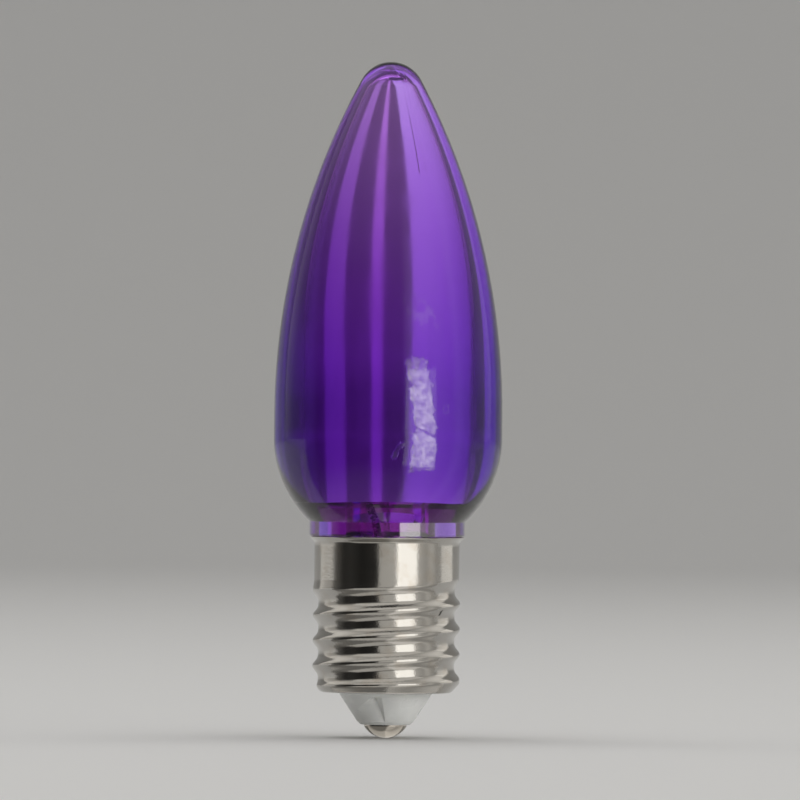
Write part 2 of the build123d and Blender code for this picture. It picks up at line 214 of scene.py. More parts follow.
def makeMarkMask():
    # a leaning, ragged-edged patch on a round surface, in mm from its middle:
    # side = radius times the angle from its azimuth, less lean times height; up = height less tilt
    # times side; inside where the larger of |side| - halfWidth and |up| - halfHeight is below 0, on
    # surfaces further out than leastRadius
    inputs = {"Azimuth": 0.0, "Height": 30.0, "HalfWidth": 1.0, "HalfHeight": 1.0, "Lean": 0.0,
              "Tilt": 0.0, "Ragged": 0.0, "Grain": 900.0, "Soft": 0.1, "LeastRadius": 0.0, "Torn": 0.0}
    group, start, end = effectGroup("markMask", inputs, ["Mask"])
    nodes, links = group.nodes, group.links
    value = start.outputs

    def step(operation, *sources):
        return combine(nodes, links, operation, *sources)

    place = nodes.new("ShaderNodeTexCoord")
    axes = nodes.new("ShaderNodeSeparateXYZ")
    links.new(place.outputs["Object"], axes.inputs[0])
    x, y, z = (step("DIVIDE", axes.outputs[k], mm) for k in range(3))
    radius = step("SQRT", step("ADD", step("MULTIPLY", x, x), step("MULTIPLY", y, y)))
    angle = step("ARCTAN2", x, step("MULTIPLY", y, -1.0))
    away = step("SUBTRACT", angle, step("RADIANS", value["Azimuth"]))
    up = step("SUBTRACT", z, value["Height"])
    side = step("SUBTRACT", step("MULTIPLY", away, radius), step("MULTIPLY", up, value["Lean"]))
    up = step("SUBTRACT", up, step("MULTIPLY", side, value["Tilt"]))
    noise = nodes.new("ShaderNodeTexNoise")
    noise.inputs["Detail"].default_value = 5
    noise.inputs["Roughness"].default_value = 0.65
    links.new(place.outputs["Object"], noise.inputs["Vector"])
    links.new(value["Grain"], noise.inputs["Scale"])
    shades = nodes.new("ShaderNodeSeparateColor")
    links.new(noise.outputs["Color"], shades.inputs[0])
    swing = step("MULTIPLY", value["Ragged"], 4.0)
    swingA = step("MULTIPLY", step("SUBTRACT", shades.outputs[0], 0.5), swing)
    swingB = step("MULTIPLY", step("SUBTRACT", shades.outputs[1], 0.5), swing)
    across = step("SUBTRACT", step("ABSOLUTE", step("ADD", side, swingA)), value["HalfWidth"])
    along = step("SUBTRACT", step("ABSOLUTE", step("ADD", up, swingB)), value["HalfHeight"])
    outside = step("MAXIMUM", across, along)
    mask = rangeOf(nodes, links, outside, value["Soft"], 0.0, 0.0, 1.0)
    mask = step("MULTIPLY", mask, step("GREATER_THAN", radius, value["LeastRadius"]))
    holes = rangeOf(nodes, links, shades.outputs[2], 0.42, 0.56, 0.0, 1.0)
    kept = step("SUBTRACT", 1.0, step("MULTIPLY", value["Torn"], holes))
    links.new(step("MULTIPLY", mask, kept), end.inputs["Mask"])
    return group


skinRelief = makeSkinRelief()
markMask = makeMarkMask()


def addRelief(nodes, links, shader, strength, distance, values, extra=None):
    # the skin's relief, with a mark's own height added where there is one
    relief = placeGroup(nodes, skinRelief, values)
    height = relief.outputs["Height"]
    if extra is not None:
        height = combine(nodes, links, "ADD", height, extra)
    bump = nodes.new("ShaderNodeBump")
    bump.inputs["Strength"].default_value = strength
    bump.inputs["Distance"].default_value = distance
    links.new(height, bump.inputs["Height"])
    links.new(bump.outputs["Normal"], shader.inputs["Normal"])
    return relief


# materials

violet = {
    "ior": 1.5, "absorbed": (0.484, 0.0, 0.758), "density": 640.0,
    "neckAbsorbed": (0.69, 0.0, 0.76), "neckDensity": 420.0,
    "coatIor": 2.6, "coatRoughness": 0.08, "roughness": (0.05, 0.12), "smudges": (0.45, 0.75),
    # stain is a near-black base colour for the gate marks: painted shade on the neck's gate strip, a dark
    # mark at the tip's gate
    "bump": 0.12, "bumpHeight": 0.00005, "stain": (0.03, 0.02, 0.05), "gateRoughness": 0.35,
    "relief": {"Scale": 400.0, "Waves": 1.0, "Stipple": 0.02, "Scratches": 0.15},
}
# gloss of the film's parts as a share of the whole, its relief, and the creases that thin it
glue = {"ring": 0.4, "fleck": 0.35, "raised": 2.5, "creaseScale": 2600.0, "creases": (0.4, 0.6),
        "thinnest": 0.45}
# gloss of the facet and relief of the moulding's lines; the collar's edge is in metres up the bulb
moulding = {"facet": 0.8, "partingRaised": 2.5, "gateRaised": 6.0, "lineRaised": 4.0,
            "collarEdge": (0.02425, 0.02415)}
# places of marks: azimuth from the front in degrees, heights and widths in mm
marks = {
    "gluePatch": {"Azimuth": 17.0, "Height": 38.1, "HalfWidth": 1.25, "HalfHeight": 4.1, "Lean": -0.13,
                  "Ragged": 0.75, "Grain": 600.0, "Soft": 0.08, "LeastRadius": 11.0, "Torn": 0.3},
    "glueFoot": {"Azimuth": 18.3, "Height": 32.2, "HalfWidth": 1.42, "HalfHeight": 2.1, "Tilt": 0.12,
                 "Ragged": 0.35, "Grain": 800.0, "Soft": 0.08, "LeastRadius": 11.0, "Torn": 0.35},
    "glueCrease": {"Azimuth": 18.0, "Height": 34.4, "HalfWidth": 1.7, "HalfHeight": 0.1, "Tilt": -0.42,
                   "Ragged": 0.06, "Grain": 900.0, "Soft": 0.12, "LeastRadius": 11.0, "Torn": 0.5},
    "glueShard": {"Azimuth": 4.6, "Height": 32.2, "HalfWidth": 0.3, "HalfHeight": 0.9, "Lean": 0.35,
                  "Ragged": 0.4, "Grain": 900.0, "Soft": 0.08, "LeastRadius": 11.0, "Torn": 0.4},
    "glueFleck": {"Azimuth": 17.5, "Height": 47.6, "HalfWidth": 1.1, "HalfHeight": 1.4, "Lean": -0.5,
                  "Ragged": 1.6, "Grain": 1100.0, "Soft": 0.2, "LeastRadius": 10.5, "Torn": 1.0},
    "blister": {"Azimuth": 30.3, "Height": 36.9, "HalfWidth": 0.36, "HalfHeight": 0.46, "Ragged": 0.15,
                "Grain": 1500.0, "Soft": 0.08, "LeastRadius": 11.0},
    "blisterInside": {"Azimuth": 30.3, "Height": 36.9, "HalfWidth": 0.2, "HalfHeight": 0.3,
                      "Ragged": 0.15, "Grain": 1500.0, "Soft": 0.08, "LeastRadius": 11.0},
    "tipGate": {"Azimuth": 10.0, "Height": 73.7, "HalfWidth": 0.8, "HalfHeight": 0.12, "Ragged": 0.08,
                "Grain": 1500.0, "Soft": 0.12, "LeastRadius": 2.6},
    "partingLine": {"Azimuth": 29.0, "Height": 69.0, "HalfWidth": 0.05, "HalfHeight": 6.0,
                    "Ragged": 0.02, "Soft": 0.1},
    # neckGate: a raised, rough gate strip whose near-black colour is painted shade
    "neckGate": {"Azimuth": -9.0, "Height": 24.5, "HalfWidth": 0.42, "HalfHeight": 1.85, "Lean": -0.22,
                 "Ragged": 0.12, "Grain": 2500.0, "Soft": 0.12, "LeastRadius": 8.5, "Torn": 0.6},
    "gateFacet": {"Azimuth": -4.6, "Height": 25.2, "HalfWidth": 0.36, "HalfHeight": 0.95, "Lean": -0.45,
                  "Ragged": 0.03, "Soft": 0.06, "LeastRadius": 8.5},
    "neckLine": {"Azimuth": 25.0, "Height": 24.3, "HalfWidth": 0.06, "HalfHeight": 1.9, "Ragged": 0.02,
                 "Soft": 0.08, "LeastRadius": 8.5},
    "capNick": {"Azimuth": 50.0, "Height": 14.1, "HalfWidth": 0.12, "HalfHeight": 0.24, "Ragged": 0.15,
                "Grain": 2500.0, "Soft": 0.1, "LeastRadius": 7.7},
}


def markOf(nodes, name):
    return placeGroup(nodes, markMask, marks[name]).outputs["Mask"]


def violetPlastic(name, absorbed, density, coatFrom, raised, darkened):
    # clear plastic that colours what is seen through it by its depth;
    # coatFrom gives the Coat Weight, raised the marks' height and darkened the places that get the
    # near-black stain colour, which on the neck's gate strip is painted shade
    material, nodes, links, shader = newMaterial(name)
    shader.inputs["Coat IOR"].default_value = violet["coatIor"]
    shader.inputs["Coat Roughness"].default_value = violet["coatRoughness"]
    shader.inputs["Transmission Weight"].default_value = 1
    shader.inputs["IOR"].default_value = violet["ior"]
    links.new(coatFrom(nodes, links), shader.inputs["Coat Weight"])
    marked = raised(nodes, links)
    relief = addRelief(nodes, links, shader, violet["bump"], violet["bumpHeight"], violet["relief"], marked)
    smudge = relief.outputs["Smudge"]
    rough = rangeOf(nodes, links, smudge, *violet["smudges"], *violet["roughness"])
    dark = darkened(nodes, links)
    rougher = combine(nodes, links, "MULTIPLY", dark, violet["gateRoughness"])
    rough = combine(nodes, links, "ADD", rough, rougher)
    links.new(rough, shader.inputs["Roughness"])
    # the stain colour paints shade on the neck's gate strip and darkens the tip's gate mark
    links.new(blended(nodes, links, dark, (1, 1, 1), violet["stain"]), shader.inputs["Base Color"])
    inside = nodes.new("ShaderNodeVolumeAbsorption")
    inside.inputs["Color"].default_value = (*absorbed, 1)
    inside.inputs["Density"].default_value = density
    links.new(inside.outputs["Volume"], nodes["Material Output"].inputs["Volume"])
    return material


def glueFilm(nodes, links):
    # what is left of a glue film: two torn pieces with a crease between them, a shard and a blister
    film = combine(nodes, links, "MAXIMUM", markOf(nodes, "gluePatch"), markOf(nodes, "glueFoot"))
    film = combine(nodes, links, "MAXIMUM", film, markOf(nodes, "glueShard"))
    film = combine(nodes, links, "SUBTRACT", film, markOf(nodes, "glueCrease"))
    ring = combine(nodes, links, "SUBTRACT", markOf(nodes, "blister"), markOf(nodes, "blisterInside"))
    ring = combine(nodes, links, "MULTIPLY", ring, glue["ring"])
    film = combine(nodes, links, "MAXIMUM", film, ring)
    creased = placeGroup(nodes, skinRelief, {"Scale": glue["creaseScale"]})
    smudge = creased.outputs["Smudge"]
    texture = rangeOf(nodes, links, smudge, *glue["creases"], glue["thinnest"], 1.0)
    return combine(nodes, links, "MULTIPLY", film, texture)


def envelopeCoat(nodes, links):
    fleck = combine(nodes, links, "MULTIPLY", markOf(nodes, "glueFleck"), glue["fleck"])
    return combine(nodes, links, "MAXIMUM", glueFilm(nodes, links), fleck)


def envelopeRaised(nodes, links):
    line = combine(nodes, links, "MULTIPLY", markOf(nodes, "partingLine"), moulding["partingRaised"])
    film = combine(nodes, links, "MULTIPLY", glueFilm(nodes, links), glue["raised"])
    return combine(nodes, links, "ADD", line, film)


def envelopeDarkened(nodes, links):
    return markOf(nodes, "tipGate")


def neckCoat(nodes, links):
    # the collar and the facet cut beside the gate mirror more than the round underside does
    place = nodes.new("ShaderNodeTexCoord")
    axes = nodes.new("ShaderNodeSeparateXYZ")
    links.new(place.outputs["Object"], axes.inputs[0])
    collar = rangeOf(nodes, links, axes.outputs["Z"], *moulding["collarEdge"], 0.0, 1.0)
    facet = combine(nodes, links, "MULTIPLY", markOf(nodes, "gateFacet"), moulding["facet"])
    coat = combine(nodes, links, "MAXIMUM", collar, facet)
    return combine(nodes, links, "SUBTRACT", coat, markOf(nodes, "neckGate"))


def neckRaised(nodes, links):
    gate = combine(nodes, links, "MULTIPLY", markOf(nodes, "neckGate"), moulding["gateRaised"])
    line = combine(nodes, links, "MULTIPLY", markOf(nodes, "neckLine"), moulding["lineRaised"])
    return combine(nodes, links, "ADD", gate, line)


# painted shade: the neck's gate strip, raised and rough, gets the near-black stain colour
def neckPaintedShade(nodes, links):
    return markOf(nodes, "neckGate")


nickel = {
    "colour": (0.5, 0.485, 0.455), "stained": (0.4, 0.32, 0.23), "nick": (0.05, 0.045, 0.04),
    "roughness": (0.1, 0.19), "smudges": (0.35, 0.7), "stains": (0.5, 0.8), "bumpHeight": 0.00002,
    "relief": {"Scale": 900.0, "Waves": 0.8, "Stipple": 0.9, "Scratches": 0.1},
}


def nickelPlate(name, bump, stain, colour):
    # bright plating with faint brown stains, grainy where bump is high
    material, nodes, links, shader = newMaterial(name)
    shader.inputs["Metallic"].default_value = 1
    surface = addRelief(nodes, links, shader, bump, nickel["bumpHeight"], nickel["relief"])
    smudge = surface.outputs["Smudge"]
    amount = rangeOf(nodes, links, smudge, *nickel["stains"], 0.0, stain)
    clean = blended(nodes, links, amount, colour, nickel["stained"])
    marked = blended(nodes, links, markOf(nodes, "capNick"), clean, nickel["nick"])
    links.new(marked, shader.inputs["Base Color"])
    rough = rangeOf(nodes, links, smudge, *nickel["smudges"], *nickel["roughness"])
    links.new(rough, shader.inputs["Roughness"])
    return material


plain = {
    "relief": {"Waves": 0.4, "Stipple": 0.3, "Scratches": 0.1}, "bumpHeight": 0.00003,
    "grime": (0.4, 0.75), "grimeShade": 0.88, "smudges": (0.3, 0.7), "roughnessSwing": 0.06,
    "glowDepth": (0.0012, 0.0012, 0.001),
}


def plainPlastic(name, colour, roughness, bump, scale, subsurface=0.0):
    # one colour that darkens a little in smudges, with a roughness that swings with them
    p = plain
    material, nodes, links, shader = newMaterial(name)
    values = {"Scale": scale, **p["relief"]}
    surface = addRelief(nodes, links, shader, bump, p["bumpHeight"], values)
    smudge = surface.outputs["Smudge"]
    darker = tuple(p["grimeShade"] * part for part in colour)
    amount = rangeOf(nodes, links, smudge, *p["grime"], 0.0, 1.0)
    links.new(blended(nodes, links, amount, colour, darker), shader.inputs["Base Color"])
    smooth, dull = roughness - p["roughnessSwing"], roughness + p["roughnessSwing"]
    links.new(rangeOf(nodes, links, smudge, *p["smudges"], smooth, dull), shader.inputs["Roughness"])
    shader.inputs["Subsurface Weight"].default_value = subsurface
    if subsurface:
        shader.inputs["Subsurface Radius"].default_value = p["glowDepth"]
    return material


envelopePlastic = violetPlastic("envelopePlastic", violet["absorbed"], violet["density"],
                                envelopeCoat, envelopeRaised, envelopeDarkened)
neckPlastic = violetPlastic("neckPlastic", violet["neckAbsorbed"], violet["neckDensity"],
                            neckCoat, neckRaised, neckPaintedShade)
capPlate = nickelPlate("capPlate", 0.4, 0.35, nickel["colour"])
contactPlate = nickelPlate("contactPlate", 0.1, 0.1, (0.6, 0.56, 0.5))
whitePlastic = plainPlastic("whitePlastic", (0.86, 0.87, 0.85), 0.3, 0.15, 700.0, 0.15)
boardFinish = plainPlastic("boardFinish", (0.72, 0.74, 0.68), 0.45, 0.2, 900.0)
chipFinish = plainPlastic("chipFinish", (0.85, 0.82, 0.62), 0.3, 0.1, 900.0)
blackMoulding = plainPlastic("blackMoulding", (0.03, 0.03, 0.033), 0.5, 0.3, 1500.0)
resistorFinish = plainPlastic("resistorFinish", (0.3, 0.48, 0.4), 0.35, 0.2, 900.0)
leadInsulation = plainPlastic("leadInsulation", (0.82, 0.82, 0.78), 0.4, 0.2, 900.0)
solderFinish = nickelPlate("solderFinish", 0.3, 0.1, (0.6, 0.6, 0.58))

print("materials ready")

# envelope

bulb = {
    "bellyRadius": 12.78, "bellyStraight": 2.7, "tipRadius": 3.78, "tipZ": 75.7,
    "jointZ": 26.3, "collarTop": 24.2, "collarBottom": 22.55, "collarRadius": 8.72,
    "innerBelly": 9.5, "mouthRadius": 8.4, "tipWall": 1.5, "cavityTipRadius": 2.8,
    "cavityRise": 8.5, "cavityStraight": 7.2, "plugRadius": 8.3, "shelfZ": 27.0,
    "jointGap": 0.03, "columns": 320,
}
bulb["shoulderZ"] = bulb["collarTop"] + math.sqrt(bulb["bellyRadius"] ** 2 - bulb["collarRadius"] ** 2)
turn = np.linspace(0, 2 * math.pi, bulb["columns"], endpoint=False)


def ogiveRuns(startR, startZ, topZ, endRadius, sideCount, tipCount):
    # long side arc tangent to the straight side, then a round tip tangent to that arc
    rise = topZ - startZ - endRadius
    sideRadius = (startR ** 2 + rise ** 2 - endRadius ** 2) / (2 * (startR - endRadius))
    touch = math.degrees(math.atan2(rise, sideRadius - startR))
    side = arc(startR - sideRadius, startZ, sideRadius, 0, touch, sideCount)
    tip = arc(0, topZ - endRadius, endRadius, touch, 90, tipCount)
    return side, tip


def undersideRadius(z):
    # radius of the ball-shaped underside at a height: sqrt(R squared - (centre - z) squared)
    return np.sqrt(bulb["bellyRadius"] ** 2 - (bulb["shoulderZ"] - z) ** 2)


def makeEnvelope():
    # the wall's profile goes down the cavity, over the joint and up the outside
    b = bulb
    lowZ = b["jointZ"] + b["jointGap"]
    lowAngle = math.degrees(math.asin((lowZ - b["shoulderZ"]) / b["bellyRadius"]))
    underside = arc(0, b["shoulderZ"], b["bellyRadius"], lowAngle, 0, 40)
    sideZ = b["shoulderZ"] + b["bellyStraight"]
    belly = straight(b["bellyRadius"], b["shoulderZ"], b["bellyRadius"], sideZ, 4)
    side, tip = ogiveRuns(b["bellyRadius"], sideZ, b["tipZ"], b["tipRadius"], 100, 24)
    # the cavity's low part is an arc through the mouth's edge, upright where it meets the side
    cavityZ = b["jointZ"] + b["cavityRise"]
    drop = b["innerBelly"] - b["mouthRadius"]
    span = cavityZ - lowZ
    lowRadius = (span ** 2 + drop ** 2) / (2 * drop)
    lowTurn = math.degrees(math.asin(span / lowRadius))
    lower = arc(b["innerBelly"] - lowRadius, cavityZ, lowRadius, 0, -lowTurn, 14)
    cavityStart = cavityZ + b["cavityStraight"]
    cavityTop = b["tipZ"] - b["tipWall"]
    innerSide, innerTip = ogiveRuns(b["innerBelly"], cavityStart, cavityTop, b["cavityTipRadius"], 60, 18)
    cavity = joined(
        (innerTip[0][::-1], innerTip[1][::-1]),
        (innerSide[0][::-1], innerSide[1][::-1]),
        straight(b["innerBelly"], cavityStart, b["innerBelly"], cavityZ, 4),
        lower,
    )
    rim = straight(cavity[0][-1], lowZ, underside[0][0], lowZ, 6)
    radius, height = joined(cavity, rim, underside, belly, side, tip)
    radius[0] = radius[-1] = 0
    grid = roundGrid(radius, height, turn)
    piece = gridPiece("envelopeWall", grid, False, envelopePlastic)
    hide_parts("envelope")


# neck

neck = {
    "spigotRadius": 7.72, "spigotLow": 17.05, "skirtRadius": 6.25, "skirtLow": 13.25,
    "boreRadius": 5.3, "seatZ": 21.05, "recessRadius": 4.8, "throatLow": 22.05,
    "throatRadius": 3.05, "throatTop": 3.31, "chamfer": 0.12,
    "flatWidth": 2.3, "flatAzimuth": 1.0, "columns": 480,
}


def makeNeck():
    # the profile goes up the outside from the skirt and back down the throat and the bore
    n, b = neck, bulb
    lowAngle = math.degrees(math.asin((b["collarTop"] - b["shoulderZ"]) / b["bellyRadius"]))
    highAngle = math.degrees(math.asin((b["jointZ"] - b["shoulderZ"]) / b["bellyRadius"]))
    edgeR = b["collarRadius"] - n["chamfer"]
    edgeZ = b["collarBottom"] + n["chamfer"]
    radius, height = joined(
        straight(n["boreRadius"], n["skirtLow"], n["skirtRadius"], n["skirtLow"], 3),
        straight(n["skirtRadius"], n["skirtLow"], n["skirtRadius"], n["spigotLow"], 6),
        straight(n["skirtRadius"], n["spigotLow"], n["spigotRadius"], n["spigotLow"], 3),
        straight(n["spigotRadius"], n["spigotLow"], n["spigotRadius"], b["collarBottom"], 8),
        straight(n["spigotRadius"], b["collarBottom"], edgeR, b["collarBottom"], 4),
        straight(edgeR, b["collarBottom"], b["collarRadius"], edgeZ, 3),
        straight(b["collarRadius"], edgeZ, b["collarRadius"], b["collarTop"], 14),
        arc(0, b["shoulderZ"], b["bellyRadius"], lowAngle, highAngle, 18),
        straight(undersideRadius(b["jointZ"]), b["jointZ"], b["plugRadius"], b["jointZ"], 6),
        straight(b["plugRadius"], b["jointZ"], b["plugRadius"], b["shelfZ"], 5),
        straight(b["plugRadius"], b["shelfZ"], n["throatTop"], b["shelfZ"], 12),
        straight(n["throatTop"], b["shelfZ"], n["throatRadius"], n["throatLow"], 14),
        straight(n["throatRadius"], n["throatLow"], n["recessRadius"], n["throatLow"], 4),
        straight(n["recessRadius"], n["throatLow"], n["recessRadius"], n["seatZ"], 3),
        straight(n["recessRadius"], n["seatZ"], n["boreRadius"], n["seatZ"], 2),
        straight(n["boreRadius"], n["seatZ"], n["boreRadius"], n["skirtLow"], 8),
    )
    around = np.linspace(0, 2 * math.pi, n["columns"], endpoint=False)
    grid = roundGrid(radius[:-1], height[:-1], around)
    # the gate was trimmed off on a flat: no point further out than the flat's plane, in the collar only
    reach = math.sqrt(b["collarRadius"] ** 2 - (n["flatWidth"] / 2) ** 2)
    facing = math.radians(n["flatAzimuth"] - 90)
    outward = grid[..., 0] * math.cos(facing) + grid[..., 1] * math.sin(facing)
    collar = (height[:-1] >= b["collarBottom"]) & (height[:-1] <= b["collarTop"] + 1e-6)
    excess = np.maximum(outward - reach, 0) * collar[:, None]
    grid[..., 0] -= excess * math.cos(facing)
    grid[..., 1] -= excess * math.sin(facing)
    piece = gridPiece("neckMoulding", grid, True, neckPlastic)
    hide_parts("neck")


makeEnvelope()
makeNeck()
print("envelope and neck ready")

# screw cap

cap = {
    "bottom": 5.1, "rim": 22.5, "sheet": 0.25, "band": 8.12, "rimRadius": 8.7, "flareZ": 21.85,
    "threadHigh": 18.0, "root": 7.63, "crest": 8.25, "corner": 0.6, "mouth": 6.0, "pitch": 2.822,
    "firstCrest": 6.6, "crestSharpness": 1.75, "grooveStart": (-0.95, -0.6), "grooveEnd": (3.05, 3.35),
    "crestToBand": (16.6, 17.7), "cornerToCrest": (5.3, 6.3), "columns": 240,
}


def ridgeHeight(z, azimuth):
    # right-hand thread: one groove winds up the cap between crests. Across it the height is a raised
    # cosine of the distance to the crest, to a power that widens the root; along it, the groove's
    # depth grows from nothing and fades again, by the number of turns travelled
    c = cap
    turns = azimuth / (2 * math.pi)
    u = (z - c["firstCrest"]) / c["pitch"] - turns
    travelled = np.floor(u) + turns
    deep = smoothStep(travelled, *c["grooveStart"]) * (1 - smoothStep(travelled, *c["grooveEnd"]))
    wave = 0.5 + 0.5 * np.cos(2 * math.pi * u)
    across = 1 - deep * (1 - wave ** c["crestSharpness"])
    full = c["crest"] - c["root"] + (c["band"] - c["crest"]) * smoothStep(z, *c["crestToBand"])
    return full * across * smoothStep(z, *c["cornerToCrest"])


def makeCap():
    # each face of the sheet is a turned profile at the root's radius, pushed out by the ridge height;
    # the rim's lip follows r = band + out times a smooth step
    c = cap
    around = np.linspace(0, 2 * math.pi, c["columns"], endpoint=False)

    def skin(inset):
        corner = c["corner"] - inset
        root, low = c["root"] - inset, c["bottom"] + inset
        t = np.linspace(0, 1, 12)
        lip = root + (c["rimRadius"] - c["band"]) * smoothStep(t, 0.0, 1.1)
        radius, height = joined(
            straight(c["mouth"], low, root - corner, low, 6),
            arc(root - corner, low + corner, corner, -90, 0, 10),
            straight(root, low + corner, root, c["threadHigh"], 150),
            straight(root, c["threadHigh"], root, c["flareZ"], 10),
            (lip, c["flareZ"] + (c["rim"] - c["flareZ"]) * t),
        )
        ridge = ridgeHeight(height[:, None], around[None, :])
        return roundGrid(radius[:, None] + ridge, height, around)

    grid = np.concatenate([skin(0), skin(c["sheet"])[::-1]])
    piece = gridPiece("capShell", grid, True, capPlate, 40)
    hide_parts("screw_cap")


makeCap()
print("screw cap ready")

# insulator

nose = {
    "low": 1.5, "tip": 2.95, "top": 5.3, "topZ": 5.1, "cupZ": 5.4, "cupRadius": 7.18,
    "cupRim": 16.8, "cupInner": 6.38, "floorZ": 8.0, "bore": 1.15, "lip": 0.3, "lipOut": 0.02,
    "lipRise": 0.35, "notchStep": 0.03, "columns": 720,
}
notch = {
    "topZ": 4.6, "lowZ": 1.9, "depth": 1.0, "lowDepth": 0.05,
    "ridge": (-18, -80), "wallFoot": (-16, -2), "wallTop": (-5, -0.5),
}


def notchDepth(z, azimuth):
    # from the ridge the floor ramps down to the wall's foot, then the wall comes back up; t runs
    # from 0 at the notch's top to 1 at its low end and moves the three lines round the nose;
    # azimuths are taken from the nearer of the front and the back, so there are two notches
    n = notch
    front = np.degrees(azimuth) % 180 - 90
    t = np.clip((n["topZ"] - z) / (n["topZ"] - n["lowZ"]), 0, 1)
    ridge, foot, top = (a + (b - a) * t for a, b in (n["ridge"], n["wallFoot"], n["wallTop"]))
    ramp = np.clip((front - ridge) / (foot - ridge), 0, 1)
    wall = np.clip((top - front) / (top - foot), 0, 1)
    deep = n["depth"] + (n["lowDepth"] - n["depth"]) * t
    inside = (z <= n["topZ"] + 1e-6) & (z >= n["lowZ"])
    return deep * np.minimum(ramp, wall) * inside


def makeInsulator():
    # a turned profile: lip, cone and cup, with the notches taken off the cone's radius
    n = nose
    slope = (n["top"] - n["tip"]) / (n["topZ"] - n["low"])

    def cone(z):
        return n["tip"] + slope * (z - n["low"])

    lipR, lipZ = n["tip"] - n["lip"], n["low"] + n["lip"]
    coneZ = n["low"] + n["lipRise"]
    cutZ = notch["topZ"]
    pastZ = cutZ + n["notchStep"]
    radius, height = joined(
        straight(n["bore"], n["low"], lipR, n["low"], 6),
        arc(lipR + n["lipOut"], lipZ, n["lip"], -90, -33, 8),
        straight(cone(coneZ), coneZ, cone(cutZ), cutZ, 50),
        straight(cone(pastZ), pastZ, n["top"], n["topZ"], 6),
        straight(n["top"], n["topZ"], n["top"], n["cupZ"], 3),
        straight(n["top"], n["cupZ"], n["cupRadius"], n["cupZ"], 4),
        straight(n["cupRadius"], n["cupZ"], n["cupRadius"], n["cupRim"], 4),
        straight(n["cupRadius"], n["cupRim"], n["cupInner"], n["cupRim"], 3),
        straight(n["cupInner"], n["cupRim"], n["cupInner"], n["floorZ"], 4),
        straight(n["cupInner"], n["floorZ"], n["bore"], n["floorZ"], 4),
    )
    around = np.linspace(0, 2 * math.pi, n["columns"], endpoint=False)
    cut = notchDepth(height[:, None], around[None, :])
    grid = roundGrid(radius[:, None] - cut, height, around)
    piece = gridPiece("insulatorNose", grid, True, whitePlastic, 20)
    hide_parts("insulator")


# centre contact

contact = {
    "radius": 2.42, "height": 1.5, "edge": 0.15, "shank": 1.1, "bore": 0.6, "boreLow": 0.5,
    "top": 8.6, "columns": 128,
}


def makeContact():
    # a shallow dome on a hollow shank, which is open at its top
    c = contact
    rise = c["height"] - c["edge"]
    domeRadius = (c["radius"] ** 2 + rise ** 2) / (2 * rise)
    half = math.degrees(math.asin(c["radius"] / domeRadius))
    radius, height = joined(
        arc(0, domeRadius, domeRadius, -90, -90 + half, 40),
        straight(c["radius"], rise, c["radius"], c["height"], 3),
        straight(c["radius"], c["height"], c["shank"], c["height"], 3),
        straight(c["shank"], c["height"], c["shank"], c["top"], 3),
        straight(c["shank"], c["top"], c["bore"], c["top"], 2),
        straight(c["bore"], c["top"], c["bore"], c["boreLow"], 3),
        straight(c["bore"], c["boreLow"], 0, c["boreLow"], 2),
    )
    radius[0] = radius[-1] = 0
    around = np.linspace(0, 2 * math.pi, c["columns"], endpoint=False)
    grid = roundGrid(radius, height, around)
    piece = gridPiece("contactRivet", grid, False, contactPlate)
    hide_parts("centre_contact")


makeInsulator()
makeContact()
print("insulator and contact ready")

# inner parts carried over from the frame

finishes = {
    "driver_board": boardFinish, "led_board": boardFinish, "led_chip_1": chipFinish,
    "led_chip_2": chipFinish, "led_chip_3": chipFinish, "bridge_rectifier": blackMoulding,
    "dropper_resistor_left": blackMoulding, "dropper_resistor_right": blackMoulding,
    "fusible_resistor": resistorFinish, "centre_lead": leadInsulation,
    "side_lead": leadInsulation, "solder_joints": solderFinish,
}
for nodeName, finish in finishes.items():
    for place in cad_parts[nodeName].material_slots:
        place.material = finish

# studio

studio = {
    "floorZ": 0.0, "backY": 1500.0, "curve": 300.0, "width": 3600.0, "middle": 0.0,
    "front": -1800.0, "top": 2000.0, "colour": (0.82, 0.825, 0.83), "pixelsPerMm": 8.93,
    "axisX": 388.4, "tipY": 738.0, "frameCentre": 400.0, "distance": 1200.0, "lean": -0.55,
    "sensor": 36.0, "farEnd": 20.0, "aimZ": 38.0,
}


def paperSheet(name, y, z, material):
    # a sheet of paper as wide as the studio that follows a line of points seen from the side
    half = studio["width"] / 2
    left = np.stack([np.full_like(y, -half), y, z], axis=-1)
    right = left * np.array([-1, 1, 1])
    count = len(y)
    faces = [(i, i + count, i + count + 1, i + 1) for i in range(count - 1)]
    mesh = bpy.data.meshes.new(name)
    mesh.from_pydata((np.concatenate([left, right]) * mm).tolist(), [], faces)
    mesh.shade_smooth()
    mesh.materials.append(material)
    sheet = bpy.data.objects.new(name, mesh)
    bpy.context.scene.collection.objects.link(sheet)
    return sheet


def makeStudio():
    # pale paper that turns up behind, and a front sheet which the plating doesn't mirror
    s = studio
    material, nodes, links, shader = newMaterial("backdropPaper")
    shader.inputs["Base Color"].default_value = (*s["colour"], 1)
    shader.inputs["Roughness"].default_value = 0.9
    bend = arc(s["backY"] - s["curve"], s["floorZ"] + s["curve"], s["curve"], -90, 0, 24)
    y = np.concatenate([[s["middle"]], bend[0], [s["backY"]]])
    z = np.concatenate([[s["floorZ"]], bend[1], [s["top"]]])
    paperSheet("backdrop", y, z, material)
    y = np.array([s["front"], s["middle"]])
    frontSheet = paperSheet("frontFloor", y, np.full(2, s["floorZ"]), material)
    frontSheet.visible_glossy = False


